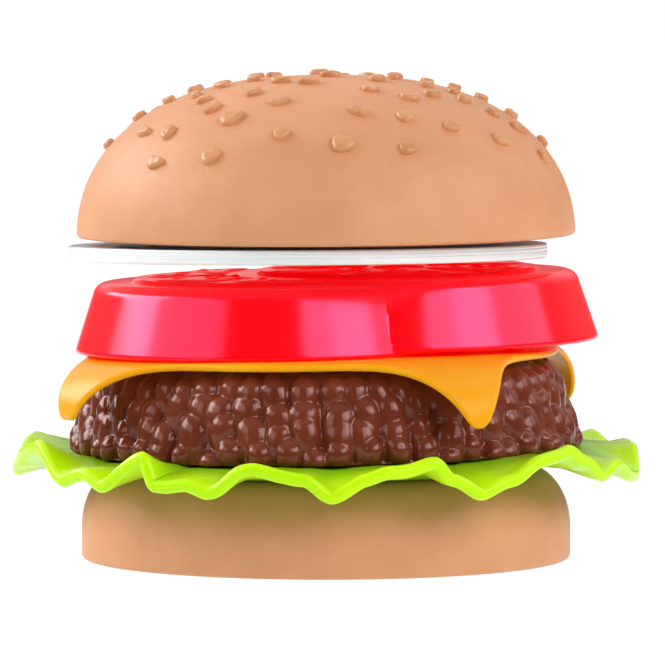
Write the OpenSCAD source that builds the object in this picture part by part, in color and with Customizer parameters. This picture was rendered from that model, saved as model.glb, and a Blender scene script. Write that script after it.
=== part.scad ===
// Toy hamburger: seven loose moulded layers that stack in order on a flat base.
// Each thick layer is a thin-walled shell closed from below by a plate with four pegs.
// Bearings run from the front, which faces -Y, towards the right, which is +X.

/* [Walls and fixings] */
// Wall thickness of the hollow shells
wall = 2.2; // [1.8:0.1:2.6]
// Thickness of the plates that close the shells
plate_t = 2; // [1.5:0.1:2.5]
// Radius of the pegs on the plates
peg_r = 2; // [1.5:0.1:2.4]
// Radius of the sockets that take the pegs
socket_r = 4.2; // [3.8:0.1:5]
// Clearance round a plate and round its pegs
fit_gap = 0.1; // [0.05:0.05:0.2]
// Gap left between one layer and the next
seat_gap = 0.05; // [0.02:0.01:0.1]

/* [Bottom bun] */
// Radius at the base
heel_r = 48.9; // [47:0.1:50]
// Height
heel_h = 18.5; // [17:0.1:20]
// Width of the rounded shoulder
heel_edge_w = 9; // [6:0.5:11]
// Height of the rounded shoulder
heel_edge_h = 12; // [8:0.5:14]

/* [Lettuce] */
// Radius of the ruffled edge
leaf_r = 62.8; // [60:0.1:66]
// Radius of the flat middle
leaf_flat_r = 41; // [38:0.5:43]
// Thickness of the leaf
leaf_t = 2; // [1.6:0.1:2.4]

/* [Patty] */
// Radius at the base
patty_r = 51.4; // [50:0.1:52]
// Radius at the top of the side
patty_top_r = 47; // [46:0.1:49]
// Height
patty_h = 18.4; // [17:0.1:20]
// Height of the underside above the rest face, at the middle
patty_z = 22; // [21.8:0.1:23]
// Sideways lean of the patty and of the layers on it, in degrees
patty_lean = 0.9; // [0:0.1:1]

/* [Cheese] */
// Half the width of the flat square, before its corners bend down
cheese_half = 47.3; // [46:0.1:49]
// Radius of the rounded corners
cheese_corner_r = 2.9; // [2:0.1:6]
// Bearing of the front corner
cheese_turn = 31.2; // [20:0.1:45]
// Thickness
cheese_t = 1.4; // [1.2:0.1:1.8]
// How far the corners hang down
cheese_drop = 11; // [8:0.5:12]
// How much further the right side hangs down than the middle
cheese_droop = 1.1; // [0:0.1:1.5]
// How far the edges are drawn in beside the corners
cheese_sag = 4.9; // [0:0.1:5]

/* [Tomato] */
// Radius of each slice at its base
slice_r = 40; // [38:0.5:42]
// Height of each slice
slice_h = 14; // [12:0.5:16]
// How far the side leans in over the height
slice_draft = 3.6; // [2:0.2:4]
// Width of the smooth rim on top, round the raised pulp
slice_rim_w = 8; // [6:0.5:10]
// Height of the second slice over the first
slice_step = 0.9; // [0.5:0.1:1.5]
// Height of the pulp above the rim
pulp_h = 1.4; // [0.8:0.1:1.4]

/* [Onion] */
// Radius of the rim
onion_r = 47.9; // [46:0.1:49]
// Thickness
onion_t = 2.9; // [2.4:0.1:2.9]
// Sideways shift
onion_x = -3.6; // [-5:0.1:0]
// Sideways lean, in degrees
onion_lean = 0.35; // [0.3:0.05:0.5]
// Backward lean, in degrees
onion_pitch = 1.17; // [1:0.01:1.2]

/* [Top bun] */
// Radius of the rim
crown_r = 49.9; // [48:0.1:51]
// Height of the dome
crown_h = 32; // [28:0.5:34]
// Sideways lean, in degrees
crown_lean = 0.4; // [0.3:0.1:0.5]
// How far the plate stands out below the rim
crown_foot = 0.5; // [0.3:0.1:0.6]
// Radius of the ball that each sesame seed is cut from
seed_r = 2.4; // [2:0.1:3]
// How far a seed stands out of the dome
seed_out = 1; // [0.6:0.1:1.4]

/* [Hidden] */
$fn = 96;

bun_colour = [0.86, 0.62, 0.44];
leaf_colour = [0.62, 0.9, 0.05];
patty_colour = [0.42, 0.18, 0.11];
cheese_colour = [1, 0.66, 0.15];
tomato_colour = [0.88, 0.02, 0.04];
onion_colour = [0.93, 0.95, 0.95];

peg_h = 6;             // how far a peg reaches above its plate
socket_clear = 1;      // gap between a plate and the sockets above it
peg_ring = 28;         // distance of the pegs from the middle
bore_spare = 1;        // how much deeper a socket is than its peg
ledge = 1;             // inward step that a plate rests against
roof_edge = 2;         // bevel between a cavity's side and its roof
leaf_sectors = 144;
cheese_sectors = 120;
cheese_x = -0.5;       // sideways shift of the cheese
cheese_flat_r = 43;    // radius inside which the cheese's rings are round, not square

// First slice and second slice: middle of the base, x and y
slice_at = [[-9.7, -2], [15, 5.4]];
tomato_pegs = [[-34, 0], [-10, -24], [-10, 26], [38, 8]];
slice_edge_r = 3;      // rounding of a slice's upper edge
crease = 0.4;          // depth of the crease round the second slice, where it lies on the first

patty_seat_r = patty_r - wall - 0.6;
cheese_z = patty_h + seat_gap * 2;
tomato_z = cheese_z + cheese_t + seat_gap;
onion_z = 59.85;       // height of the onion's underside, at its middle
crown_z = 64.5;        // height of the top bun's rim

// Folds of the leaf: bearing, and rise of the edge there
folds = [[-180, 3], [-169, -2], [-157, 3.5], [-146, 1], [-132, -3], [-107, 3.4], [-90, -1.5], [-66, 5],
    [-56, -1.2], [-50, 0.9], [-45, -1.4], [-35, 4.4], [-30, -0.7], [-26, -0.2], [-22, -1.5], [-13, 3.2],
    [-4, 1.3], [1, -2], [7, 1.3], [12, 2.6], [20, 3.8], [29, -1.9], [36, 0.4], [42, 3.6], [50, 5],
    [62, -0.3], [85, -2.6], [102, 2.5], [109, 1], [118, 3], [131, -2.5], [144, 3], [157, -2], [168, 2],
    [174, -1], [180, 3]];

// Seeds of the front half: bearing and distance from the middle. The back half repeats them.
seeds = [[-91, 37], [-90, 43], [-85, 26], [-84, 31], [-67, 22], [-66, 28], [-62, 40], [-60, 16], [-53, 30],
    [-50, 40], [-47, 45], [-42, 33], [-33, 26], [-30, 17], [-30, 36], [-30, 44], [-17, 30], [-12, 40],
    [-10, 18], [5, 42], [8, 8], [11, 34], [22, 24], [22, 43], [26, 36], [35, 29], [39, 39], [41, 16],
    [49, 28], [55, 42], [62, 23], [62, 31], [67, 15], [68, 36], [70, 27], [72, 40], [73, 45]];

function ease(t) = (1 - cos(180 * t)) / 2;
function around(b, r, z) = [r * sin(b), -r * cos(b), z];
function arc(x, z, a, b, from, to, steps) =
    [for (i = [0:steps]) let (t = from + (to - from) * i / steps) [x + a * cos(t), z + b * sin(t)]];

// Faces of a closed skin: a first point, rings of n points each, and a last point
function skin_faces(rings, n) = let (last = 1 + rings * n) concat(
    [for (j = [0:n - 1]) [0, 1 + j, 1 + (j + 1) % n]],
    [for (i = [0:rings - 2], j = [0:n - 1], half = [0, 1])
        let (a = 1 + i * n + j, b = 1 + i * n + (j + 1) % n) half == 0 ? [a, a + n, b + n] : [a, b + n, b]],
    [for (j = [0:n - 1]) [last, last - n + (j + 1) % n, last - n + j]]);

// Rise of the leaf's edge at a bearing, eased from fold to fold
function fold_rise(b, i = 0) = b > folds[i + 1][0] ? fold_rise(b, i + 1) :
    folds[i][1] + (folds[i + 1][1] - folds[i][1]) * ease((b - folds[i][0]) / (folds[i + 1][0] - folds[i][0]));
function leaf_point(b, r, side) = let (out = max(0, r - leaf_flat_r) / (leaf_r - leaf_flat_r))
    around(b, r, heel_h + leaf_t / 2 * (1 + side) + seat_gap + fold_rise(b) * pow(out, 3));

// Distance from the middle to the edge of the flat square, whose corners are rounded and edges drawn in
function cheese_edge(b) = let (turned = b - cheese_turn + 3600, u = turned - 90 * floor(turned / 90) - 45,
        straight = atan((cheese_half - cheese_corner_r) / cheese_half),
        middle = (cheese_half - cheese_corner_r) * sqrt(2), off = 45 - abs(u))
    (abs(u) < straight ? cheese_half / cos(u) :
        middle * cos(off) + sqrt(pow(cheese_corner_r, 2) - pow(middle * sin(off), 2)))
        - cheese_sag * pow(sin(180 * pow(1 - abs(u) / 45, cheese_sag_power)), 2);

// The sheet is flat out to cheese_bend_r and then follows a quarter ellipse, down to the corners' tips.
// bend_angle finds how far round the ellipse a stretch of sheet reaches, one degree at a time.
cheese_bend_r = 43.2;
cheese_bend_w = 15;
cheese_sag_power = 0.6;   // below 1, the edges are drawn in most near the corners
bend_step = 1;
function bend_run(t, drop) = norm([cheese_bend_w * cos(t), drop * sin(t)]) * bend_step * PI / 180;
function bend_angle(run, drop, t = 0) =
    run <= 0 || t >= 90 ? t : bend_angle(run - bend_run(t, drop), drop, t + bend_step);
function cheese_point(b, flat_r, side) =
    let (drop = cheese_drop + cheese_droop * sin(b),
        t = flat_r <= cheese_bend_r ? 0 : bend_angle(flat_r - cheese_bend_r, drop),
        lean = atan2(drop * sin(t), cheese_bend_w * cos(t)), up = cheese_t / 2 * (1 + side))
    around(b, min(flat_r, cheese_bend_r) + cheese_bend_w * sin(t) + up * sin(lean),
        up * cos(lean) - drop * (1 - cos(t)));

// Height of the dome above its rim, at a distance from the middle
dome_sink = 1.6;
dome_m = 2.47;
dome_n = 2.25;
foot_inset = 4;        // how far the plate's foot is set in from its edge
function dome(r) = (crown_h + dome_sink) * pow(1 - pow(r / crown_r, dome_m), 1 / dome_n) - dome_sink;
function dome_outline(in) =
    [for (i = [0:18]) let (t = 90 * i / 18, r = (crown_r - in) * pow(sin(t), 2 / dome_m))
        if (t < 86) [r, (crown_h + dome_sink - in) * pow(cos(t), 2 / dome_n) - dome_sink]];

// Pegs of a plate that rests on z = 0
module pegs(at) {
    for (p = at)
        translate([p[0], p[1], 0]) cylinder(h = plate_t + peg_h, r = peg_r);
}
// Posts that hang from a shell's roof and take the pegs
module sockets(at, top) {
    for (p = at)
        translate([p[0], p[1], plate_t + socket_clear])
            cylinder(h = top - plate_t - socket_clear, r = socket_r);
}
// Bores in the posts, a little deeper than the pegs
module socket_bores(at) {
    for (p = at)
        translate([p[0], p[1], 0]) cylinder(h = plate_t + peg_h + bore_spare, r = peg_r + fit_gap);
}
ring_pegs = [for (a = [45:90:315]) [peg_ring * cos(a), peg_ring * sin(a)]];

// Cavity of a round shell: a seat for the plate, a ledge, then the inner side up to the roof
module cavity(base_r, top_r, roof) {
    rotate_extrude()
        polygon([[0, -1], [base_r, -1], [base_r, plate_t], [base_r - ledge, plate_t],
            [top_r, roof - roof_edge], [top_r - roof_edge, roof], [0, roof]]);
}

module bottom_bun_shell() {
    outline = concat([[0, 0], [heel_r - 1, 0]], arc(heel_r - 1, 1, 1, 1, -60, 0, 3),
        arc(heel_r - heel_edge_w, heel_h - heel_edge_h, heel_edge_w, heel_edge_h, 0, 90, 12), [[0, heel_h]]);
    color(bun_colour) difference() {
        union() {
            difference() {
                rotate_extrude() polygon(outline);
                cavity(heel_r - wall, heel_r - heel_edge_w, heel_h - wall);
            }
            sockets(ring_pegs, heel_h - wall / 2);
        }
        socket_bores(ring_pegs);
    }
}

module bottom_bun_base() {
    color(bun_colour) union() {
        cylinder(h = plate_t, r = heel_r - wall - fit_gap);
        pegs(ring_pegs);
    }
}

module lettuce() {
    radii = [20, 36, leaf_flat_r, 44, 47, 50, 52.5, 55, 57, 59, 60.5, leaf_r - leaf_t / 3];
    rows = concat([for (r = radii) [r, -1]], [[leaf_r, -0.45], [leaf_r, 0.45]],
        [for (i = [len(radii) - 1:-1:0]) [radii[i], 1]]);
    points = concat([leaf_point(0, 0, -1)],
        [for (row = rows, j = [0:leaf_sectors - 1]) leaf_point(360 * j / leaf_sectors - 180, row[0], row[1])],
        [leaf_point(0, 0, 1)]);
    color(leaf_colour) polyhedron(points, skin_faces(len(rows), leaf_sectors), convexity = 10);
}

// Places what stands on the patty's base plane, with its lean
module on_patty(z = 0) {
    translate([0, 0, patty_z]) rotate([0, -patty_lean, 0]) translate([0, 0, z]) children();
}

module patty_shell() {
    foot_r = 1.2;
    shoulder_r = 4;
    lower = [patty_r - 0.4, 3.4];
    outline = concat([[0, 0], [patty_r - foot_r * 2 / 3, 0]],
        arc(patty_r - foot_r, foot_r, foot_r, foot_r, -60, 0, 3), [lower],
        arc(patty_top_r - shoulder_r, patty_h - shoulder_r, shoulder_r, shoulder_r, 15, 90, 6),
        [[0, patty_h]]);
    color(patty_colour) on_patty() difference() {
        union() {
            difference() {
                rotate_extrude() polygon(outline);
                cavity(patty_seat_r, patty_top_r - wall - 1, patty_h - wall);
            }
            sockets(ring_pegs, patty_h - wall / 2);
        }
        socket_bores(ring_pegs);
    }
}

module patty_base() {
    color(patty_colour) on_patty() union() {
        cylinder(h = plate_t, r = patty_seat_r - fit_gap);
        pegs(ring_pegs);
    }
}

module cheese() {
    inner = [20, 36, cheese_flat_r];
    steps = [0.2, 0.35, 0.5, 0.62, 0.74, 0.86, 0.95];
    lip = len(inner) + len(steps);
    // Flat distance of ring k from the middle, at a bearing
    function ring_r(k, b) = k < len(inner) ? inner[k] :
        k == lip ? cheese_edge(b) : cheese_flat_r + (cheese_edge(b) - cheese_flat_r) * steps[k - len(inner)];
    rows = concat([for (k = [0:lip - 1]) [k, -1]], [[lip, -0.5], [lip, 0.5]],
        [for (k = [lip - 1:-1:0]) [k, 1]]);
    points = concat([[0, 0, 0]],
        [for (row = rows, j = [0:cheese_sectors - 1]) let (b = 360 * j / cheese_sectors + cheese_turn)
            cheese_point(b, ring_r(row[0], b), row[1])],
        [[0, 0, cheese_t]]);
    color(cheese_colour) on_patty(cheese_z) translate([cheese_x, 0, 0])
        polyhedron(points, skin_faces(len(rows), cheese_sectors), convexity = 10);
}

// One slice, solid: leaning side, round shoulder, rim and raised pulp
module slice() {
    side_r = slice_r - slice_draft;
    pulp_r = side_r - slice_rim_w;
    rotate_extrude()
        polygon(concat([[0, 0], [slice_r - 0.5, 0], [slice_r, 0.6]],
            arc(side_r - slice_edge_r, slice_h - slice_edge_r, slice_edge_r, slice_edge_r, 10, 90, 6),
            [[pulp_r, slice_h], [pulp_r - 1, slice_h + pulp_h * 0.7], [pulp_r - 4, slice_h + pulp_h],
                [0, slice_h + pulp_h]]));
}
module slice_hollow() {
    cavity(slice_r - wall, slice_r - slice_draft - wall - 0.5, slice_h - wall);
}
module at_slice(i) {
    translate([slice_at[i][0], slice_at[i][1], slice_step * i]) children();
}

module tomato_shell() {
    color(tomato_colour) on_patty(tomato_z) difference() {
        union() {
            difference() {
                union() {
                    difference() {
                        at_slice(0) slice();
                        at_slice(1) translate([0, 0, slice_h - slice_step - crease])
                            cylinder(h = slice_h, r = slice_r - slice_draft - 1);
                    }
                    at_slice(1) slice();
                }
                at_slice(0) slice_hollow();
                at_slice(1) slice_hollow();
            }
            sockets(tomato_pegs, slice_h - wall / 4);
        }
        socket_bores(tomato_pegs);
    }
}

module tomato_base() {
    color(tomato_colour) on_patty(tomato_z) union() {
        for (i = [0, 1])
            at_slice(i) cylinder(h = plate_t, r = slice_r - wall - fit_gap);
        pegs(tomato_pegs);
    }
}

module onion() {
    groove_r = 0.5;
    bevel = 0.5;
    color(onion_colour) translate([onion_x, 0, onion_z]) rotate([-onion_pitch, -onion_lean, 0]) difference() {
        rotate_extrude()
            polygon([[0, 0], [onion_r - bevel, 0], [onion_r, bevel], [onion_r, onion_t - bevel],
                [onion_r - bevel, onion_t], [0, onion_t]]);
        for (r = [9:6.5:42])
            rotate_extrude() translate([r, onion_t]) circle(r = groove_r, $fn = 16);
        for (r = [12:6.5:42])
            rotate_extrude() translate([r, 0]) circle(r = groove_r, $fn = 16);
    }
}

module on_crown() {
    translate([0, 0, crown_z]) rotate([0, -crown_lean, 0]) children();
}
module dome_solid(in) {
    rotate_extrude()
        polygon(concat([[0, -crown_foot - 1]], [[crown_r - in, -crown_foot - 1]],
            [for (p = [len(dome_outline(in)) - 1:-1:0]) dome_outline(in)[p]]));
}

// One seed: a ball sunk into the dome
module seed_at(bearing, r) {
    slope = atan((dome(r - 0.1) - dome(r + 0.1)) / 0.2);
    rotate([0, 0, bearing - 90]) translate([r, 0, dome(r)]) rotate([0, slope, 0])
        translate([0, 0, seed_out - seed_r]) sphere(r = seed_r, $fn = 32);
}

module top_bun_shell() {
    color(bun_colour) on_crown() difference() {
        union() {
            difference() {
                intersection() {
                    dome_solid(0);
                    cylinder(h = crown_h * 2, r = crown_r + 1);
                }
                dome_solid(wall);
                translate([0, 0, -plate_t]) cylinder(h = plate_t * 2, r = crown_r - wall);
            }
            intersection() {
                dome_solid(wall / 2);
                sockets(ring_pegs, crown_h);
            }
            for (turn = [0, 180], s = seeds)
                seed_at(s[0] + turn, s[1]);
        }
        socket_bores(ring_pegs);
    }
}

module top_bun_base() {
    color(bun_colour) on_crown() union() {
        cylinder(h = plate_t, r = crown_r - wall - fit_gap);
        translate([0, 0, -crown_foot])
            cylinder(h = crown_foot + plate_t / 2, r = crown_r - wall - foot_inset);
        pegs(ring_pegs);
    }
}

bottom_bun_shell();
bottom_bun_base();
lettuce();
patty_shell();
patty_base();
cheese();
tomato_shell();
tomato_base();
onion();
top_bun_shell();
top_bun_base();
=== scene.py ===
"""Looks of the toy hamburger: seven loose moulded layers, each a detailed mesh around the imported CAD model.

Shapes are worked out in millimetres, in the frame of the CAD part. They turn into metres as meshes are made.
Bearings are in degrees from the front, which faces -Y, towards the right, which is +X.
"""

import math

import bpy
import numpy as np
from mathutils import Matrix, Vector, noise


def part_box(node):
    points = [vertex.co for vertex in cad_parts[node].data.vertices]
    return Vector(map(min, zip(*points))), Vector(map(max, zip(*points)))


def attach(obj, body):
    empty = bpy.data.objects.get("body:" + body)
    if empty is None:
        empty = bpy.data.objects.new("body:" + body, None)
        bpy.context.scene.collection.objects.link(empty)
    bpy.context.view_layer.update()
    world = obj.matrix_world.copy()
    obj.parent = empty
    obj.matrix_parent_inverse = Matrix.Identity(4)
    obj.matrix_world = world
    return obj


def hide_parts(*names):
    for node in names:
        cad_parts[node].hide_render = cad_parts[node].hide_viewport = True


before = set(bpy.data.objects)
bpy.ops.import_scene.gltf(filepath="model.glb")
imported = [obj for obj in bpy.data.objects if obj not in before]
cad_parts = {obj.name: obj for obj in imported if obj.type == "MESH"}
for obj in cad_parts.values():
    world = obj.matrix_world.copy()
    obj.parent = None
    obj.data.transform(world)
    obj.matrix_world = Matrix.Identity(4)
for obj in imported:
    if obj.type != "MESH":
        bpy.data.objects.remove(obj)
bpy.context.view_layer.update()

MM = 0.001


# ---------------------------------------------------------------- camera, in metres

CAMERA_DISTANCE = 1.328
CAMERA_HEIGHT = 0.1255
CAMERA_AIM = Vector((0.0013, 0.0, 0.045))
VIEW_WIDTH = 0.133     # width that fills the picture, at the toy


def make_camera():
    """A long lens a little above the toy, so that every layer is seen nearly edge on."""
    data = bpy.data.cameras.new("camera")
    camera = bpy.data.objects.new("camera", data)
    camera.location = (0.0, -CAMERA_DISTANCE, CAMERA_HEIGHT)
    sight = CAMERA_AIM - camera.location
    camera.rotation_euler = sight.to_track_quat("-Z", "Y").to_euler()
    data.lens = data.sensor_width * sight.length / VIEW_WIDTH
    bpy.context.scene.collection.objects.link(camera)
    bpy.context.scene.camera = camera


# ---------------------------------------------------------------- mesh helpers

def around(bearing, r, z):
    """Points at a bearing, a distance from the middle and a height, which may be arrays."""
    bearing, r, z = np.broadcast_arrays(np.radians(bearing), r, z)
    return np.stack([r * np.sin(bearing), -r * np.cos(bearing), z], -1)


def bearings(count):
    return np.arange(count) * 360.0 / count - 180.0


def add_mesh(name, points, faces):
    """A smooth-shaded object from points in millimetres."""
    mesh = bpy.data.meshes.new(name)
    mesh.from_pydata((np.asarray(points) * MM).tolist(), [], faces)
    mesh.shade_smooth()
    obj = bpy.data.objects.new(name, mesh)
    bpy.context.scene.collection.objects.link(obj)
    return obj


def skin_arrays(first, rings, last):
    """Points and faces of a closed skin: a first point, rings of equal length, and a last point."""
    count, n = rings.shape[:2]
    points = np.concatenate([[first], rings.reshape(-1, 3), [last]])
    j = np.arange(n)
    k = (j + 1) % n
    faces = [(0, int(1 + a), int(1 + b)) for a, b in zip(k, j)]
    for i in range(count - 1):
        low, high = 1 + i * n, 1 + (i + 1) * n
        faces += np.stack([low + j, low + k, high + k, high + j], 1).tolist()
    end = 1 + (count - 1) * n
    faces += [(int(1 + count * n), int(end + a), int(end + b)) for a, b in zip(j, k)]
    return points, faces


def skin(name, first, rings, last):
    return add_mesh(name, *skin_arrays(first, rings, last))


def revolve(name, outline, sectors=256):
    """A solid of revolution. The outline starts and ends on the axis and runs anticlockwise."""
    outline = np.asarray(outline, float)
    rings = around(bearings(sectors)[None, :], outline[1:-1, :1], outline[1:-1, 1:])
    return skin(name, (0, 0, outline[0, 1]), rings, (0, 0, outline[-1, 1]))


def arc(x, z, a, b, start, end, steps):
    """Points on an ellipse's arc round (x, z), from a start to an end angle in degrees."""
    t = np.radians(np.linspace(start, end, steps + 1))
    return np.stack([x + a * np.cos(t), z + b * np.sin(t)], 1)


def line(*corners, step=1.5):
    """Points along straight stretches, close enough together for even shading."""
    out = [np.array(corners[0], float)]
    for a, b in zip(corners, corners[1:]):
        a, b = np.array(a, float), np.array(b, float)
        count = max(1, math.ceil(np.linalg.norm(b - a) / step))
        out += [a + (b - a) * i / count for i in range(1, count + 1)]
    return np.array(out)


def lean(degrees, height, shift=0.0):
    """Stands a layer at a height, leaned so that its right side is higher, and shifted sideways."""
    return Matrix.Translation((shift * MM, 0, height * MM)) @ Matrix.Rotation(-math.radians(degrees), 4, "Y")


def place(obj, matrix):
    obj.data.transform(matrix)
    obj.data.update()


def combine(obj, other, operation):
    """Applies a boolean of two closed meshes to the first, and removes the second."""
    cut = obj.modifiers.new("combine", "BOOLEAN")
    cut.operation = operation
    cut.solver = "MANIFOLD"
    cut.object = other
    depsgraph = bpy.context.evaluated_depsgraph_get()
    mesh = bpy.data.meshes.new_from_object(obj.evaluated_get(depsgraph))
    obj.modifiers.clear()
    obj.data = mesh
    bpy.data.objects.remove(other)


def sharpen(obj, degrees):
    obj.data.shade_smooth()
    obj.data.set_sharp_from_angle(angle=math.radians(degrees))


# ---------------------------------------------------------------- materials

class Paint:
    """A principled material and short ways to add nodes to it."""

    def __init__(self, name, colour, roughness, specular=0.5):
        self.material = bpy.data.materials.new(name)
        self.material.use_nodes = True
        self.nodes = self.material.node_tree.nodes
        self.links = self.material.node_tree.links
        self.shader = self.nodes["Principled BSDF"]
        self.shader.inputs["Base Color"].default_value = (*colour, 1)
        self.shader.inputs["Roughness"].default_value = roughness
        self.shader.inputs["Specular IOR Level"].default_value = specular
        self.place = self.nodes.new("ShaderNodeTexCoord").outputs["Object"]

    def noise(self, scale, detail=3.0):
        node = self.nodes.new("ShaderNodeTexNoise")
        node.inputs["Scale"].default_value = scale
        node.inputs["Detail"].default_value = detail
        self.links.new(self.place, node.inputs["Vector"])
        return node.outputs["Fac"]

    def ramp(self, value, *stops):
        node = self.nodes.new("ShaderNodeValToRGB")
        self.links.new(value, node.inputs["Fac"])
        elements = node.color_ramp.elements
        while len(elements) < len(stops):
            elements.new(0.5)
        for element, (at, colour) in zip(elements, stops):
            element.position = at
            element.color = (*colour, 1)
        return node.outputs["Color"]

    def mix(self, factor, a, b):
        """The first colour where the factor is 0, and the second where it is 1."""
        node = self.nodes.new("ShaderNodeMix")
        node.data_type = "RGBA"
        for socket, value in ((node.inputs[0], factor), (node.inputs[6], a), (node.inputs[7], b)):
            if isinstance(value, bpy.types.NodeSocket):
                self.links.new(value, socket)
            elif socket.type == "RGBA":
                socket.default_value = (*value, 1)
            else:
                socket.default_value = value
        return node.outputs[2]

    def scale_value(self, value, low, high):
        node = self.nodes.new("ShaderNodeMapRange")
        self.links.new(value, node.inputs["Value"])
        node.inputs["To Min"].default_value = low
        node.inputs["To Max"].default_value = high
        return node.outputs["Result"]

    def distance(self, start, end):
        """Runs from 0 to 1 between two distances from the upright axis, in metres."""
        flat = self.nodes.new("ShaderNodeVectorMath")
        flat.operation = "MULTIPLY"
        flat.inputs[1].default_value = (1, 1, 0)
        self.links.new(self.place, flat.inputs[0])
        length = self.nodes.new("ShaderNodeVectorMath")
        length.operation = "LENGTH"
        self.links.new(flat.outputs[0], length.inputs[0])
        ramp = self.nodes.new("ShaderNodeMapRange")
        ramp.interpolation_type = "SMOOTHSTEP"
        ramp.inputs["From Min"].default_value = start
        ramp.inputs["From Max"].default_value = end
        self.links.new(length.outputs["Value"], ramp.inputs["Value"])
        return ramp.outputs["Result"]

    def bump(self, height, strength, distance_mm):
        node = self.nodes.new("ShaderNodeBump")
        node.inputs["Strength"].default_value = strength
        node.inputs["Distance"].default_value = distance_mm * MM
        self.links.new(height, node.inputs["Height"])
        previous = self.shader.inputs["Normal"].links
        if previous:
            self.links.new(previous[0].from_socket, node.inputs["Normal"])
        self.links.new(node.outputs["Normal"], self.shader.inputs["Normal"])

    def colour(self, socket):
        self.links.new(socket, self.shader.inputs["Base Color"])

    def roughness(self, socket):
        self.links.new(socket, self.shader.inputs["Roughness"])


def bun_paint():
    """Matt tan plastic with a faint mottle, fine specks and an orange-peel grain."""
    paint = Paint("bun", (0.67, 0.305, 0.145), 0.5, 0.35)
    mottle = paint.ramp(paint.noise(90, 4), (0.3, (0.64, 0.285, 0.132)), (0.7, (0.70, 0.325, 0.158)))
    specks = paint.ramp(paint.noise(1500, 2), (0.68, (0, 0, 0)), (0.74, (1, 1, 1)))
    paint.colour(paint.mix(specks, mottle, (0.56, 0.24, 0.11)))
    paint.roughness(paint.scale_value(paint.noise(220), 0.44, 0.56))
    paint.bump(paint.noise(700, 3), 0.25, 0.12)
    paint.bump(paint.noise(2600, 2), 0.3, 0.04)
    return paint.material


def seed_paint():
    """The same plastic as the bun, a little yellower and smoother."""
    paint = Paint("seeds", (0.64, 0.29, 0.115), 0.36, 0.5)
    paint.colour(paint.ramp(paint.noise(260, 3), (0.3, (0.56, 0.24, 0.09)), (0.7, (0.70, 0.325, 0.14))))
    paint.roughness(paint.scale_value(paint.noise(400), 0.3, 0.42))
    paint.bump(paint.noise(900, 2), 0.3, 0.08)
    return paint.material


def lettuce_paint():
    """Glossy lime plastic with faint ripples, vivid at its lip and darker green further in, where painted
    shade stands for the patty's shadow on the leaf.
    """
    paint = Paint("lettuce", (0.5, 0.9, 0.003), 0.24, 0.38)
    paint.shader.inputs["Specular Tint"].default_value = (0.9, 1, 0.4, 1)
    lip = paint.ramp(paint.noise(45, 3), (0.3, (0.46, 0.88, 0.002)), (0.7, (0.56, 0.95, 0.003)))
    # Painted shade: inside about 52 mm from the middle the leaf turns a darker green, for the shadow under
    # the patty.
    paint.colour(paint.mix(paint.distance(0.052, 0.0615), (0.25, 0.57, 0.005), lip))
    paint.shader.inputs["Subsurface Weight"].default_value = 0.15
    paint.shader.inputs["Subsurface Radius"].default_value = (0.5, 1.0, 0.1)
    paint.shader.inputs["Subsurface Scale"].default_value = 0.002
    paint.roughness(paint.scale_value(paint.noise(160), 0.2, 0.3))
    paint.bump(paint.noise(260, 3), 0.15, 0.15)
    return paint.material


def patty_paint():
    """Glossy chocolate-brown plastic with slight unevenness in its shine."""
    paint = Paint("patty", (0.18, 0.038, 0.017), 0.17, 0.5)
    paint.shader.inputs["Specular Tint"].default_value = (1, 0.72, 0.68, 1)
    paint.colour(paint.ramp(paint.noise(120, 3), (0.3, (0.14, 0.026, 0.011)), (0.7, (0.20, 0.042, 0.018))))
    paint.roughness(paint.scale_value(paint.noise(300), 0.13, 0.2))
    paint.bump(paint.noise(300, 2), 0.08, 0.1)
    return paint.material


def cheese_paint():
    """Satin orange-yellow plastic."""
    paint = Paint("cheese", (0.94, 0.38, 0.006), 0.3, 0.25)
    paint.shader.inputs["Specular Tint"].default_value = (1, 0.85, 0.5, 1)
    paint.colour(paint.ramp(paint.noise(60, 3), (0.3, (0.92, 0.36, 0.005)), (0.7, (0.95, 0.41, 0.008))))
    paint.shader.inputs["Subsurface Weight"].default_value = 0.4
    paint.shader.inputs["Subsurface Radius"].default_value = (1.0, 0.5, 0.1)
    paint.shader.inputs["Subsurface Scale"].default_value = 0.004
    paint.roughness(paint.scale_value(paint.noise(200), 0.26, 0.36))
    paint.bump(paint.noise(600, 2), 0.1, 0.06)
    return paint.material


def tomato_paint():
    """High-gloss red plastic with a violet shine. A slight glow stands for light that passes through."""
    paint = Paint("tomato", (0.80, 0.002, 0.006), 0.16, 0.62)
    paint.shader.inputs["Specular Tint"].default_value = (1, 0.42, 1, 1)
    paint.colour(paint.ramp(paint.noise(50, 2), (0.3, (0.76, 0.002, 0.004)), (0.7, (0.84, 0.002, 0.005))))
    paint.shader.inputs["Emission Color"].default_value = (1, 0.0, 0.001, 1)
    paint.shader.inputs["Emission Strength"].default_value = 0.35
    paint.roughness(paint.scale_value(paint.noise(250), 0.15, 0.19))
    paint.bump(paint.noise(180, 2), 0.04, 0.1)
    return paint.material


def onion_paint():
    """Glossy white plastic, faintly cool."""
    paint = Paint("onion", (0.80, 0.84, 0.84), 0.16)
    paint.colour(paint.ramp(paint.noise(40, 3), (0.3, (0.76, 0.81, 0.81)), (0.7, (0.84, 0.87, 0.87))))
    paint.roughness(paint.scale_value(paint.noise(240), 0.12, 0.22))
    paint.bump(paint.noise(300, 2), 0.03, 0.05)
    return paint.material


def finish(obj, material, body, slot, *nodes):
    """Gives a piece its material, unless it has one, its body and the CAD nodes that it stands for."""
    if not any(obj.data.materials):
        obj.data.materials.clear()
        obj.data.materials.append(material)
    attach(obj, body)
    if nodes:
        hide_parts(*nodes)


# ---------------------------------------------------------------- bottom bun

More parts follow.
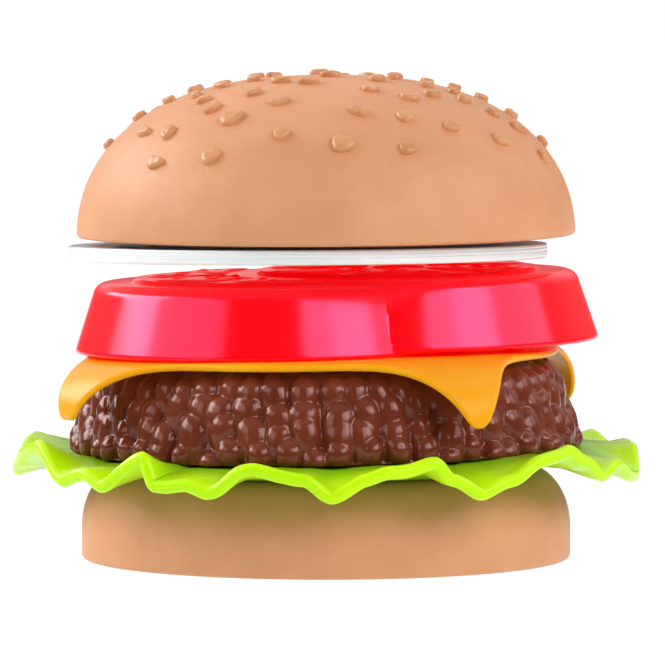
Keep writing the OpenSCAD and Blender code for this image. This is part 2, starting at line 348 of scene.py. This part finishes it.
WALL = 2.2
PLATE_T = 2.0
LEDGE = 1.0            # inward step that a plate rests against
ROOF_BEVEL = 2.0       # between a cavity's wall and its roof
HEEL_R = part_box("bottom_bun_shell")[1].x / MM
HEEL_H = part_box("bottom_bun_shell")[1].z / MM
HEEL_EDGE_W = 9.0
HEEL_EDGE_H = 12.0


def cavity_outline(base_r, top_r, roof):
    """The inside of a round shell, from the middle of the roof down to the rim."""
    ceiling = line((0, roof), (top_r - ROOF_BEVEL, roof), step=4)
    wall = line((top_r, roof - ROOF_BEVEL), (base_r - LEDGE, PLATE_T), (base_r, PLATE_T), (base_r, 0), step=4)
    return np.concatenate([ceiling, wall])


def make_bottom_bun(paint):
    inside = cavity_outline(HEEL_R - WALL, HEEL_R - HEEL_EDGE_W, HEEL_H - WALL)
    foot = arc(HEEL_R - 1, 1, 1, 1, -80, 0, 6)
    side = line((HEEL_R, 1.5), (HEEL_R, HEEL_H - HEEL_EDGE_H - 0.5))
    shoulder = arc(HEEL_R - HEEL_EDGE_W, HEEL_H - HEEL_EDGE_H, HEEL_EDGE_W, HEEL_EDGE_H, 0, 90, 32)
    top = line((HEEL_R - HEEL_EDGE_W - 1, HEEL_H), (0, HEEL_H), step=3)
    bun = revolve("bottom_bun", np.concatenate([inside, foot, side, shoulder, top]))
    finish(bun, paint, "bottom_bun", "bun", "bottom_bun_shell")


# ---------------------------------------------------------------- lettuce

LEAF_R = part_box("lettuce")[1].x / MM
LEAF_FLAT_R = 41.0
LEAF_T = 2.0
LEAF_Z = HEEL_H + 0.05 + LEAF_T / 2
LEAF_LIP = 0.3         # how much thicker, on each face, the leaf grows towards its lip
LEAF_CURL_R = 57.5     # where the lip starts to curl down
LEAF_CURL = 0.405      # how far it curls down
LEAF_ROOM = 1.2        # how far the leaf swells up below the middle of the patty's underside
# Radii between which the leaf swells up towards the patty, stays up and comes down again
LEAF_SWELL = (42.0, 48.0, 51.5, 59.0)
PATTY_R = 51.4         # the patty's, which the swelling follows
PATTY_LEAN = 0.9
# Folds of the leaf: bearing, and rise of the edge there
FOLDS = ((-180, 3), (-169, -2), (-157, 3.5), (-146, 1), (-132, -3), (-107, 3.4), (-90, -1.5),
         (-66, 5), (-56, -1.2), (-50, 0.9), (-45, -1.4), (-35, 4.8), (-32.5, -0.6), (-30, -0.9),
         (-26, -0.1), (-22, -1.6), (-13, 3.4), (-8, 1.9), (-4, 1.2), (1, -2.2), (7, 1.2), (12, 2.7),
         (20, 4.0), (23, 1.2), (29, -2.0), (36, 0.4), (42, 3.6), (50, 5), (62, -0.3), (68, 1.4),
         (76, -1.4), (85, -2.6), (94, 2.2), (102, 2.5), (109, 0.6), (118, 3), (131, -2.5), (144, 3),
         (157, -2), (168, 2), (174, -1), (180, 3))


def fold_rise(bearing):
    """Rise of the leaf's edge, running from fold to fold with fairly crisp crests."""
    at, rise = np.array(FOLDS, float).T
    i = np.clip(np.searchsorted(at, bearing, "right") - 1, 0, len(at) - 2)
    t = (bearing - at[i]) / (at[i + 1] - at[i])
    eased = 0.65 * (1 - np.cos(np.pi * t)) / 2 + 0.35 * t
    return rise[i] + (rise[i + 1] - rise[i]) * eased


def ripples(b):
    """Small waves of the leaf between its folds."""
    rng = np.random.default_rng(3)
    angle = np.radians(b)
    return sum(rng.uniform(0.03, 0.09) * np.sin(k * angle + rng.uniform(0, 6.28)) for k in range(24, 64, 5))


def make_lettuce(paint):
    sectors = 900
    b = bearings(sectors)
    reach = LEAF_R - 1.3
    radii = np.concatenate([np.linspace(4, LEAF_FLAT_R, 12), np.linspace(LEAF_FLAT_R + 1, reach, 34)])
    out = np.clip((radii - LEAF_FLAT_R) / (reach - LEAF_FLAT_R), 0, 1)[:, None]
    curl = np.clip((radii - LEAF_CURL_R) / (reach - LEAF_CURL_R), 0, 1)[:, None] ** 2 * LEAF_CURL
    rise = fold_rise(b)[None, :] * out ** 2.8 + ripples(b)[None, :] * out
    room = LEAF_ROOM + PATTY_R * math.sin(math.radians(PATTY_LEAN)) * np.sin(np.radians(b))
    rise += np.interp(radii, LEAF_SWELL, (0, 1, 1, 0))[:, None] * room[None, :]
    middle = around(b[None, :], radii[:, None], LEAF_Z + rise - curl)
    across = np.gradient(middle, axis=0)
    along = np.roll(middle, -1, 1) - np.roll(middle, 1, 1)
    normal = np.cross(across, along)
    normal /= np.linalg.norm(normal, axis=2, keepdims=True)
    half = LEAF_T / 2 + LEAF_LIP * out[..., None] ** 3
    edge, edge_n = middle[-1], normal[-1]
    outward = np.cross(along[-1], edge_n)
    outward /= np.linalg.norm(outward, axis=1, keepdims=True)
    lip_half = LEAF_T / 2 + LEAF_LIP
    lip = [edge + lip_half * (outward * math.cos(t) * 0.9 + edge_n * math.sin(t))
           for t in np.radians(np.linspace(-75, 75, 9))]
    rings = np.concatenate([middle - half * normal, lip, (middle + half * normal)[::-1]])
    leaf = skin("lettuce_leaf", (0, 0, LEAF_Z - LEAF_T / 2), rings, (0, 0, LEAF_Z + LEAF_T / 2))
    finish(leaf, paint, "lettuce", "lettuce", "lettuce")


# ---------------------------------------------------------------- patty

PATTY_Z = 22.0
PATTY_H = 18.4
# Profile of the patty's side: height above the base, and radius
PATTY_SIDE = ((0, 50.4), (1, 51.3), (3.4, 51.0), (7, 49.8), (10.6, 48.8), (13, 47.9), (15.4, 47.0),
              (17, 45.9), (17.8, 45.1), (18.4, 43.2))
# Rows of pebbles: height of their tops, how many go round, their least and greatest half-widths, and how many
# half-widths their lower half is long
PEBBLE_ROWS = ((18.2, 58, 2.6, 3.3, 1.8), (14.2, 52, 2.7, 3.5, 2.2), (9.6, 52, 2.6, 3.5, 2.0),
               (4.7, 58, 2.1, 3.1, 1.2))
PEBBLE_DEPTH = 2.3


def on_patty(height=0.0, shift=0.0):
    """Stands a layer above the patty's base and leans it with the patty."""
    return lean(PATTY_LEAN, PATTY_Z) @ Matrix.Translation((shift * MM, 0, height * MM))


def side_r(z):
    """Outer radius of the patty at a height above its base."""
    return np.interp(z, *np.array(PATTY_SIDE).T)


def pebbled_side(b, z):
    """Radius of the patty's side: egg-shaped pebbles, each row standing in front of the one above."""
    rng = np.random.default_rng(11)
    out = side_r(z) - PEBBLE_DEPTH
    for row, (row_top, count, least, most, slender) in enumerate(PEBBLE_ROWS):
        start = rng.uniform(0, 360 / count)
        for k in range(count):
            half = rng.uniform(least, most)
            top = row_top + rng.uniform(-1.9, 1.9 if row else -0.1)
            up = half * rng.uniform(0.95, 1.25)
            down = half * slender * rng.uniform(0.9, 1.3)
            at = (start + 360 / count * (k + 0.5 * (row % 2) + rng.uniform(-0.22, 0.22))) % 360
            tilt = rng.uniform(-0.15, 0.15)
            middle = top - up
            r = side_r(middle) - 0.4 + 0.2 * row + rng.uniform(-0.2, 0.2)
            near = np.abs((b - at + 180) % 360 - 180) < 8
            turn = (b[near] - at + 180) % 360 - 180
            above = z[near] - middle
            s = (np.radians(turn) * r + tilt * above) / half
            t = np.where(above > 0, above / up, above / down)
            d = s * s + t * t
            bulge = PEBBLE_DEPTH * (1 - np.sqrt(np.clip(1 - d, 0, 1)))
            follow = side_r(z[near]) - side_r(middle)
            out[near] = np.where(d < 1, np.maximum(out[near], r + 0.6 * follow - bulge), out[near])
    base = np.where(z < 0.6, side_r(z) - 1.0, 0)
    return np.maximum(np.minimum(out, side_r(z) + 0.3), base)


def lumpy_top(b, r):
    """How far the patty's top lies below its highest level: low pebbles side by side."""
    rng = np.random.default_rng(12)
    x, y = r * np.sin(np.radians(b)), r * np.cos(np.radians(b))
    best = np.full(x.shape, 1.3)
    for ring in range(1, 9):
        count = int(2 * math.pi * ring * 5.2 / 5.6)
        for k in range(count):
            at = 2 * math.pi * (k + rng.uniform(-0.3, 0.3)) / count
            reach = ring * 5.2 + rng.uniform(-1, 1)
            size = rng.uniform(2.8, 4.2)
            d = np.hypot(x - reach * math.sin(at), y - reach * math.cos(at)) / size
            best = np.minimum(best, 0.15 + 1.5 * (1 - np.sqrt(np.clip(1 - d * d, 0, 1))))
    return np.minimum(best, 1.3)


def make_patty(paint):
    sectors = 840
    b = bearings(sectors)
    heights = np.concatenate([[0.15], np.linspace(0.45, PATTY_H - 0.5, 56)])
    grid_b, grid_z = np.meshgrid(b, heights)
    r = pebbled_side(grid_b, grid_z)
    side = around(grid_b, r, grid_z)
    top_r = np.concatenate([np.linspace(43.0, 36, 8), np.linspace(34, 2, 18)])
    grid_b, grid_r = np.meshgrid(b, top_r)
    top = around(grid_b, grid_r, PATTY_H - 0.05 - lumpy_top(grid_b, grid_r))
    inner = cavity_outline(side_r(0) - WALL + 0.4, 43.0, PATTY_H - WALL - 1.3)
    inside = around(b[None, :], inner[1:, :1], inner[1:, 1:])
    rings = np.concatenate([inside, side, top])
    for ring in rings[len(inside) + 1:]:
        for p in ring:
            p[:2] *= 1 + 0.002 * noise.noise(Vector(p) * 0.4) + 0.0004 * noise.noise(Vector(p) * 1.1)
    patty = skin("patty", (0, 0, inner[0, 1]), rings, (0, 0, PATTY_H - 0.2))
    place(patty, on_patty())
    finish(patty, paint, "patty", "patty", "patty_shell")


# ---------------------------------------------------------------- cheese

CHEESE_X = -0.5
CHEESE_Z = PATTY_H + 0.1
CHEESE_T = 1.4
CHEESE_HALF = 47.3
CHEESE_CORNER_R = 4.0
CHEESE_TURN = 31.2
CHEESE_DROP = 11.0     # how far the corners hang down
CHEESE_DROOP = 1.1     # how much further they do on the right
CHEESE_SAG = 4.9       # how far the edges are drawn in beside the corners
CHEESE_SAG_POWER = 0.6 # below 1, they are drawn in most near the corners
CHEESE_BEND_R = 43.2   # where the sheet starts to bend down
CHEESE_BEND_W = 15.0   # how far out the bend runs


def cheese_edge(bearing):
    """Distance from the middle to the edge of the flat square, with round corners and drawn-in edges."""
    u = (bearing - CHEESE_TURN) % 90 - 45
    inner = CHEESE_HALF - CHEESE_CORNER_R
    straight = CHEESE_HALF / np.cos(np.radians(u))
    off = np.radians(45 - np.abs(u))
    middle = inner * math.sqrt(2)
    inside = np.clip(CHEESE_CORNER_R ** 2 - (middle * np.sin(off)) ** 2, 0, None)
    rounded = middle * np.cos(off) + np.sqrt(inside)
    square = np.where(np.abs(u) < math.degrees(math.atan(inner / CHEESE_HALF)), straight, rounded)
    return square - CHEESE_SAG * np.sin(np.pi * (1 - np.abs(u) / 45) ** CHEESE_SAG_POWER) ** 2


def cheese_bend(run, drop):
    """Angle round the bend's ellipse, which a stretch of flat sheet reaches when laid along it."""
    t = np.radians(np.linspace(0, 90, 361))
    middle = (t[1:] + t[:-1]) / 2
    out = np.empty_like(run)
    for j, depth in enumerate(drop):
        steps = np.hypot(CHEESE_BEND_W * np.cos(middle), depth * np.sin(middle)) * t[1]
        out[:, j] = np.interp(run[:, j], np.concatenate([[0], np.cumsum(steps)]), t)
    return out


def make_cheese(paint):
    sectors = 720
    b = bearings(sectors) + CHEESE_TURN
    edge = cheese_edge(b) - CHEESE_T / 2
    shares = np.concatenate([np.linspace(0.08, 0.6, 10), np.linspace(0.65, 1, 44)])
    flat = shares[:, None] * edge[None, :]
    drop = CHEESE_DROP + CHEESE_DROOP * np.sin(np.radians(b))
    t = cheese_bend(flat - CHEESE_BEND_R, drop)
    mid_r = np.minimum(flat, CHEESE_BEND_R) + CHEESE_BEND_W * np.sin(t)
    middle = around(b[None, :], mid_r, CHEESE_T / 2 - drop * (1 - np.cos(t)))
    slope = np.arctan2(drop * np.sin(t), CHEESE_BEND_W * np.cos(t))
    normal = around(b[None, :], np.sin(slope), np.cos(slope))
    along = np.roll(middle[-1], -1, 0) - np.roll(middle[-1], 1, 0)
    outward = np.cross(along, normal[-1])
    outward /= np.linalg.norm(outward, axis=1, keepdims=True)
    half = CHEESE_T / 2
    lip = [middle[-1] + half * (outward * math.cos(a) + normal[-1] * math.sin(a))
           for a in np.radians(np.linspace(-75, 75, 9))]
    rings = np.concatenate([middle - half * normal, lip, (middle + half * normal)[::-1]])
    cheese = skin("cheese_slice", (0, 0, 0), rings, (0, 0, CHEESE_T))
    place(cheese, on_patty(CHEESE_Z, CHEESE_X))
    finish(cheese, paint, "cheese", "cheese", "cheese")


# ---------------------------------------------------------------- tomato

TOMATO_Z = CHEESE_Z + CHEESE_T + 0.05
SLICE_AT = ((-9.7, -2.0, 0.0), (15.0, 5.4, 0.9))   # middle of each slice's base
SLICE_R = 40.0
SLICE_H = 14.0
SLICE_DRAFT = 3.6      # how far the side leans in over the height
SLICE_EDGE = 3.0       # rounding of the upper edge
SLICE_TOP_R = SLICE_R - SLICE_DRAFT
PULP_R = SLICE_TOP_R - 8.0
PULP_FLESH = 0.75      # height of the flesh between the seed chambers, above the rim
PULP_CHAMBER = 0.45    # height of a chamber above the flesh
PULP_SEED = 0.16       # height of a seed above its chamber
PULP_CORE = 0.6        # height of the core above the flesh
PULP_CORE_R = 5.5
CREASE = 0.4           # depth of the crease round the second slice, where it lies on the first
CHAMBERS = (7, 6)      # seed chambers of the first and the second slice


def pulp_height(b, r, chambers, seed):
    """Height of a slice's middle above its rim: flesh, a core, and bulging chambers with seeds in them."""
    rng = np.random.default_rng(seed)
    height = PULP_FLESH * np.clip((PULP_R + 0.6 - r) / 1.2, 0, 1)
    height += PULP_CORE * np.sqrt(np.clip(1 - (r / PULP_CORE_R) ** 2, 0, 1))
    for k in range(chambers):
        at = 360 / chambers * k + rng.uniform(-4, 4)
        turn = np.radians((b - at + 180) % 360 - 180)
        middle = 17.4 + rng.uniform(-0.5, 0.5)
        across = np.abs(turn) * r / (r * math.pi / chambers - 1.3).clip(0.5)
        out = np.abs(r - middle) / rng.uniform(9.2, 10.2)
        round_edge = np.clip(1 - across ** 3 - out ** 4, 0, 1) ** 0.5
        height += PULP_CHAMBER * round_edge
        for _ in range(9):
            seed_r = rng.uniform(10.5, 24.5)
            seed_turn = rng.uniform(-0.75, 0.75) * (math.pi / chambers - 2.2 / seed_r)
            dx = (turn - seed_turn) * seed_r / 0.95
            dr = (r - seed_r) / 1.7
            height += PULP_SEED * np.sqrt(np.clip(1 - dx ** 2 - dr ** 2, 0, 1)) * (round_edge > 0.3)
    return height


def slice_solid(i):
    """One slice: leaning side, round shoulder, smooth rim and raised pulp."""
    b = bearings(360)
    under = line((SLICE_R - 0.6, 0), (3, 0), step=6)[::-1]
    foot = arc(SLICE_R - 0.6, 0.6, 0.6, 0.6, -60, 5, 4)
    wall = line((SLICE_R - 0.15, 1.1), (SLICE_TOP_R + 0.1, SLICE_H - SLICE_EDGE + 0.2), step=1)
    shoulder = arc(SLICE_TOP_R - SLICE_EDGE, SLICE_H - SLICE_EDGE, SLICE_EDGE, SLICE_EDGE, 18, 88, 14)
    rim = line((SLICE_TOP_R - SLICE_EDGE - 0.6, SLICE_H), (PULP_R + 1, SLICE_H), step=1)
    outline = np.concatenate([under, foot, wall, shoulder, rim])
    side = around(b[None, :], outline[:, :1], outline[:, 1:])
    grid_b, grid_r = np.meshgrid(b, np.linspace(PULP_R + 0.6, 0.5, 68))
    top = around(grid_b, grid_r, SLICE_H + pulp_height(grid_b, grid_r, CHAMBERS[i], 21 + i))
    solid = skin("slice", (0, 0, 0), np.concatenate([side, top]), (0, 0, top[-1, 0, 2]))
    place(solid, Matrix.Translation([v * MM for v in SLICE_AT[i]]))
    return solid


def slice_hollow(i):
    """The inside of one slice, which is open below."""
    cut = cavity_outline(SLICE_R - WALL, SLICE_TOP_R - WALL - 0.5, SLICE_H - WALL)
    outline = np.concatenate([[(0, -1), (SLICE_R - WALL, -1)], cut[::-1]])
    solid = revolve("hollow", outline, 96)
    place(solid, Matrix.Translation([v * MM for v in SLICE_AT[i]]))
    return solid


def make_tomato(paint):
    """Two slices in one moulding: the second lies on the first, which is cut away below it."""
    tomato = slice_solid(0)
    tomato.name = "tomato_slices"
    room_r = SLICE_TOP_R - 1
    room = revolve("room", [(0, 0), (room_r, 0), (room_r, 10), (0, 10)], 180)
    x, y, _ = SLICE_AT[1]
    place(room, Matrix.Translation((x * MM, y * MM, (SLICE_H - CREASE) * MM)))
    combine(tomato, room, "DIFFERENCE")
    combine(tomato, slice_solid(1), "UNION")
    for i in (0, 1):
        combine(tomato, slice_hollow(i), "DIFFERENCE")
    sharpen(tomato, 38)
    place(tomato, on_patty(TOMATO_Z))
    finish(tomato, paint, "tomato", "tomato", "tomato_shell")


# ---------------------------------------------------------------- onion

ONION_R = 47.9
ONION_T = 2.9
ONION_X = -3.6
ONION_Z = 59.85        # height of its underside, at its middle
ONION_LEAN = 0.35      # sideways lean, so that the right side is higher
ONION_PITCH = 1.17     # backward lean
RING_PITCH = 6.5
RING_DEPTH = 0.28
RINGED_R = (4, 43)     # where the rings start and end


def make_onion(paint):
    """A thin disc with shallow grooves ringed on its faces and fine lines round its blunt rim."""

    def face(radii, level, up):
        waves = (0.5 - 0.5 * np.cos(2 * np.pi * (radii - RINGED_R[0]) / RING_PITCH)) ** 3
        ringed = (radii > RINGED_R[0]) & (radii < RINGED_R[1])
        return np.stack([radii, level - up * RING_DEPTH * waves * ringed], 1)

    under = face(np.linspace(0, ONION_R - 0.9, 130), 0, -1)
    z = np.linspace(0.55, ONION_T - 0.5, 25)
    lines = 0.05 * np.cos(2 * np.pi * z / 0.62) + 0.03 * np.cos(2 * np.pi * z / 0.41)
    lower = arc(ONION_R - 0.6, 0.5, 0.5, 0.5, -80, -8, 6)
    upper = arc(ONION_R - 0.5, ONION_T - 0.4, 0.4, 0.4, 8, 80, 6)
    rim = np.concatenate([lower, np.stack([ONION_R - 0.08 + lines, z], 1), upper])
    over = face(np.linspace(ONION_R - 0.9, 0, 130), ONION_T, 1)
    onion = revolve("onion_slice", np.concatenate([under, rim, over]), 320)
    pitch = Matrix.Rotation(-math.radians(ONION_PITCH), 4, "X")
    place(onion, lean(ONION_LEAN, ONION_Z, ONION_X) @ pitch)
    finish(onion, paint, "onion", "onion", "onion")


# ---------------------------------------------------------------- top bun

CROWN_R = 49.9
CROWN_H = 32.0
CROWN_Z = 64.5
CROWN_LEAN = 0.4
DOME_SINK = 1.6        # how far below the rim the dome's curve is at its widest
DOME_M = 2.47          # the curve's powers, outward and upward: 2 is an ellipse, and more is boxier
DOME_N = 2.25
# Seeds of the front half: bearing, distance from the middle, and turn, where 0 points straight up the dome
# and 90 runs level round it. The back half repeats them.
SEEDS = ((-91, 37, 80), (-90, 43, 95), (-85, 26, 60), (-84, 31, 110), (-67, 22, 90), (-66, 28, 70),
         (-62, 40, 85), (-60, 16, 90), (-53, 30, 0), (-50, 40, 14), (-47, 45, 92), (-42, 33, -4),
         (-33, 26, -6), (-30, 17, 88), (-30, 36, 135), (-30, 44, 130), (-17, 30, 120), (-12, 40, 111),
         (-10, 18, 92), (5, 42, 90), (8, 8, 75), (11, 34, 35), (22, 24, 80), (22, 43, 84), (26, 36, 95),
         (35, 29, 60), (39, 39, 60), (41, 16, 100), (49, 28, 70), (55, 42, 62), (62, 23, 100), (62, 31, 60),
         (67, 15, 90), (68, 36, 75), (70, 27, 110), (72, 40, 40), (73, 45, 80))
BIG_SEEDS = ((5, 42), (-30, 36))
BIG_SEED = 1.4
SMALL_SEED = 1.08


def dome(r):
    """Height of the dome above its rim."""
    return (CROWN_H + DOME_SINK) * (1 - (r / CROWN_R) ** DOME_M) ** (1 / DOME_N) - DOME_SINK


def seed_shape(rng, size):
    """A grain that is blunt at one end and narrower at the other, with a flattened, dented top."""
    length = size * rng.uniform(1.5, 2.1)
    width = size * rng.uniform(1.05, 1.4)
    high = rng.uniform(1.05, 1.25)
    taper = rng.uniform(0.15, 0.5)
    phase = rng.uniform(0, 100)
    ring_t = np.radians(np.linspace(-80, 80, 15))
    turn = np.radians(np.arange(28) * 360 / 28)

    def power(value, exponent):
        return np.sign(value) * np.abs(value) ** exponent

    rings = []
    for t in ring_t:
        x = length * power(np.cos(t), 0.45) * power(np.cos(turn), 0.85)
        y = width * power(np.cos(t), 0.45) * power(np.sin(turn), 0.85) * (1 - taper * x / length)
        z = np.full(len(turn), high * power(np.sin(t), 0.55))
        rings.append(np.stack([x, y, z], 1))
    rings = np.array(rings)
    for p in rings.reshape(-1, 3):
        p += np.array(noise.noise_vector(Vector(p * 0.9) + Vector((phase, 0, 0)))) * 0.16
    return skin_arrays((0, 0, -high), rings, (0, 0, high * 0.96))


def make_seeds():
    """All the seeds, each sunk into the dome and lying along it."""
    rng = np.random.default_rng(5)
    noise.seed_set(5)   # else noise_vector is seeded from the clock
    points, faces = [], []
    for turn in (0, 180):
        for bearing, r, spin in SEEDS:
            p, f = seed_shape(rng, BIG_SEED if (bearing, r) in BIG_SEEDS else SMALL_SEED)
            slope = math.atan((dome(r - 0.1) - dome(r + 0.1)) / 0.2)
            stand = (Matrix.Rotation(math.radians(bearing + turn - 90), 4, "Z")
                     @ Matrix.Translation((r, 0, float(dome(r))))
                     @ Matrix.Rotation(slope, 4, "Y")
                     @ Matrix.Rotation(math.radians(spin + rng.uniform(-4, 4)), 4, "Z"))
            m = np.array(stand)
            faces += [[v + len(points) for v in face] for face in f]
            points += (p @ m[:3, :3].T + m[:3, 3]).tolist()
    return add_mesh("seeds", points, faces)


def make_top_bun(paint, seed_paint):
    t = np.radians(np.linspace(87, 0, 90))
    dome_line = np.stack([CROWN_R * np.sin(t) ** (2 / DOME_M),
                          (CROWN_H + DOME_SINK) * np.cos(t) ** (2 / DOME_N) - DOME_SINK], 1)
    dome_line = dome_line[dome_line[:, 1] > 0.8]
    inside = (dome_line * [(CROWN_R - WALL) / CROWN_R, 1] - [0, WALL])[::-1][::5]
    inside = inside[inside[:, 1] > PLATE_T + 1]
    seat = CROWN_R - WALL
    rim = np.concatenate([line((seat - 0.8, PLATE_T), (seat, PLATE_T), (seat, 0.1), step=2),
                          arc(CROWN_R - 0.9, 0.8, 0.8, 0.8, -90, -10, 7)])
    outline = np.concatenate([[(0, inside[0, 1])], inside, rim, dome_line[1:-1], [(0, dome_line[-1, 1])]])
    crown = revolve("top_bun", outline, 360)
    seeds = make_seeds()
    for obj in (crown, seeds):
        obj.data.materials.append(paint)
        obj.data.materials.append(seed_paint)
    seeds.data.polygons.foreach_set("material_index", [1] * len(seeds.data.polygons))
    combine(crown, seeds, "UNION")
    sharpen(crown, 50)
    place(crown, lean(CROWN_LEAN, CROWN_Z))
    finish(crown, paint, "top_bun", "bun", "top_bun_shell")


# ---------------------------------------------------------------- stage and light, in metres

FLOOR_HALF = 6.0
BOX_DISTANCE = 0.9
BOX_HEIGHT = 0.4
BOXES_AIM = Vector((0, 0, 0.05))
# Soft boxes: name, azimuth from the front towards the right, elevation, width, power in watts, colour
BOXES = (("left_key", -110, 30, 0.9, 6, (1, 0.98, 1)), ("left_fill", -75, 28, 1.3, 3.5, (1, 1, 1)),
         ("right_key", 40, 29, 0.65, 3.2, (1, 0.96, 1)), ("right_fill", 70, 29, 1.0, 2.8, (1, 0.94, 0.98)))

def add_light(name, azimuth, elevation, width, power, colour):
    """A soft box that faces the toy."""
    data = bpy.data.lights.new(name, "AREA")
    data.shape = "RECTANGLE"
    data.size = width
    data.size_y = BOX_HEIGHT
    data.energy = power
    data.color = colour
    light = bpy.data.objects.new(name, data)
    el = math.radians(elevation)
    direction = Vector(around(azimuth, math.cos(el), math.sin(el)).tolist())
    light.location = BOXES_AIM + direction * BOX_DISTANCE
    light.rotation_euler = (-direction).to_track_quat("-Z", "Y").to_euler()
    bpy.context.scene.collection.objects.link(light)


def world_light():
    """A surround that lights the toy from behind and above. It is dim in front, and white to the camera."""
    world = bpy.data.worlds.new("world")
    world.use_nodes = True
    nodes, links = world.node_tree.nodes, world.node_tree.links
    direction = nodes.new("ShaderNodeSeparateXYZ")
    links.new(nodes.new("ShaderNodeTexCoord").outputs["Generated"], direction.inputs[0])

    def ramp(axis, start, end, least, most):
        node = nodes.new("ShaderNodeMapRange")
        for name, value in (("From Min", start), ("From Max", end), ("To Min", least), ("To Max", most)):
            node.inputs[name].default_value = value
        links.new(direction.outputs[axis], node.inputs["Value"])
        return node.outputs["Result"]

    def join(operation, a, b):
        node = nodes.new("ShaderNodeMath")
        node.operation = operation
        links.new(a, node.inputs[0])
        links.new(b, node.inputs[1])
        return node.outputs[0]

    behind = join("MULTIPLY", ramp("Y", -0.2, 0.9, 0.02, 0.95), ramp("Z", 0.1, 0.5, 0.15, 1.0))
    total = join("ADD", behind, ramp("Z", 0.5, 1.0, 0.02, 0.5))
    surround = nodes["Background"]
    surround.inputs["Color"].default_value = (1, 1, 1, 1)
    links.new(total, surround.inputs["Strength"])
    backdrop = nodes.new("ShaderNodeBackground")
    backdrop.inputs["Color"].default_value = (1, 1, 1, 1)
    mix = nodes.new("ShaderNodeMixShader")
    links.new(nodes.new("ShaderNodeLightPath").outputs["Is Camera Ray"], mix.inputs["Fac"])
    links.new(surround.outputs[0], mix.inputs[1])
    links.new(backdrop.outputs[0], mix.inputs[2])
    links.new(mix.outputs[0], nodes["World Output"].inputs["Surface"])
    bpy.context.scene.world = world


def make_stage():
    """A plain white floor, the surround and four soft boxes."""
    corners = [(x * FLOOR_HALF, y * FLOOR_HALF, 0) for x, y in ((-1, -1), (1, -1), (1, 1), (-1, 1))]
    mesh = bpy.data.meshes.new("floor")
    mesh.from_pydata(corners, [], [(0, 1, 2, 3)])
    floor = bpy.data.objects.new("floor", mesh)
    bpy.context.scene.collection.objects.link(floor)
    paint = Paint("floor", (0.1, 0.1, 0.1), 0.8, 0.0)
    paint.shader.inputs["Emission Color"].default_value = (1, 1, 1, 1)
    paint.shader.inputs["Emission Strength"].default_value = 1.0
    floor.data.materials.append(paint.material)
    world_light()
    bpy.context.scene.view_settings.view_transform = "Standard"
    for box in BOXES:
        add_light(*box)


def main():
    make_camera()
    bun, lettuce, patty = bun_paint(), lettuce_paint(), patty_paint()
    cheese, tomato, onion = cheese_paint(), tomato_paint(), onion_paint()
    make_bottom_bun(bun)
    make_lettuce(lettuce)
    make_patty(patty)
    make_cheese(cheese)
    make_tomato(tomato)
    make_onion(onion)
    make_top_bun(bun, seed_paint())
    for node, material in (("bottom_bun_base", bun), ("patty_base", patty), ("tomato_base", tomato),
                           ("top_bun_base", bun)):
        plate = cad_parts[node]
        plate.data.materials.clear()
        plate.data.materials.append(material)
    make_stage()


main()
